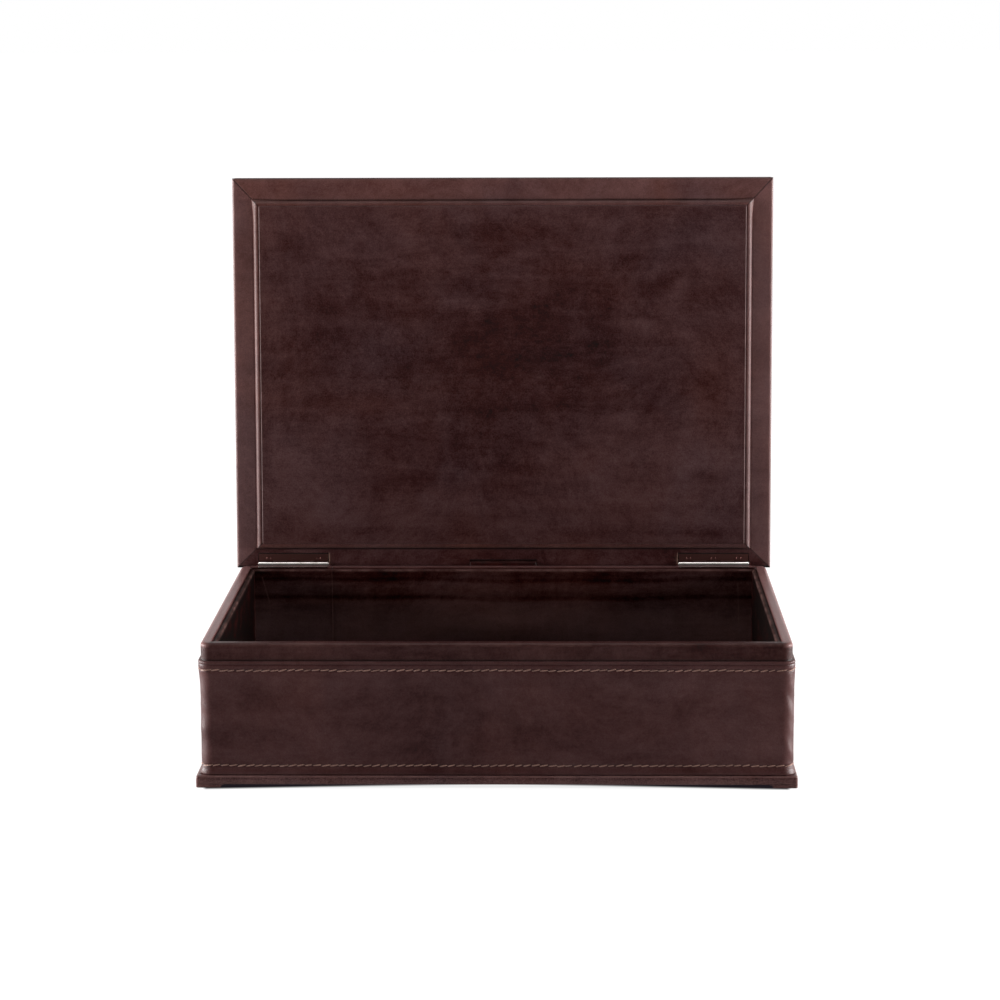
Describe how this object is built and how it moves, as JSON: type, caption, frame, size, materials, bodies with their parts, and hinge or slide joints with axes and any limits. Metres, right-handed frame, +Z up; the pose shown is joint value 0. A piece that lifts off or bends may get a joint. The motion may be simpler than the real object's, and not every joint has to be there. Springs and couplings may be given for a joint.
{
  "type": "stationery box",
  "caption": "Leather-covered box for writing paper, with a stitched band, a collar, a plinth on bracket feet and a hinged lid whose raised underside drops into the mouth.",
  "frame": {"origin": "on the floor plane under the middle of the whole box as it stands open", "axes": "+X to the right seen from the front, +Y from the front to the hinges at the back, +Z up"},
  "size_m": [0.344, 0.2682, 0.332],
  "materials": {
    "leather": "dark brown vegetable-tanned leather, waxed, semi-gloss, mottled",
    "lining_leather": "thin dark brown leather on board, satin",
    "suede": "dark brown suede, matt",
    "thread": "tan waxed linen thread",
    "board": "plain sawn board, hidden under leather",
    "nickel": "nickel-plated, polished"
  },
  "bodies": {
    "box": {"plinth": "leather", "front_left_foot": "leather", "front_right_foot": "leather", "rear_left_foot": "leather", "rear_right_foot": "leather", "underside_lining": "suede", "bottom_board": "board", "front_board": "board", "rear_board": "board", "left_board": "board", "right_board": "board", "leather_band": "leather", "upper_stitching": "thread", "lower_stitching": "thread", "rim_leather": "leather", "front_liner": "lining_leather", "rear_liner": "lining_leather", "left_liner": "lining_leather", "right_liner": "lining_leather", "floor_lining": "lining_leather", "stop_pad": "leather", "left_hinge_box_leaf": "nickel", "right_hinge_box_leaf": "nickel", "left_hinge_pin": "nickel", "right_hinge_pin": "nickel", "box_hinge_screws": "nickel"},
    "lid": {"lid_board": "board", "lid_cover": "leather", "lid_front_margin": "leather", "lid_rear_margin": "leather", "lid_left_margin": "leather", "lid_right_margin": "leather", "lid_raised_board": "leather", "lid_panel": "leather", "left_hinge_lid_leaf": "nickel", "right_hinge_lid_leaf": "nickel", "lid_hinge_screws": "nickel"}
  },
  "joints": [
    {"name": "lid_hinge", "type": "hinge", "parent": "box", "child": "lid", "pos_m": [0, 0.1133, 0.084], "axis": [1, 0, 0], "range_deg": [0, 92]}
  ]
}
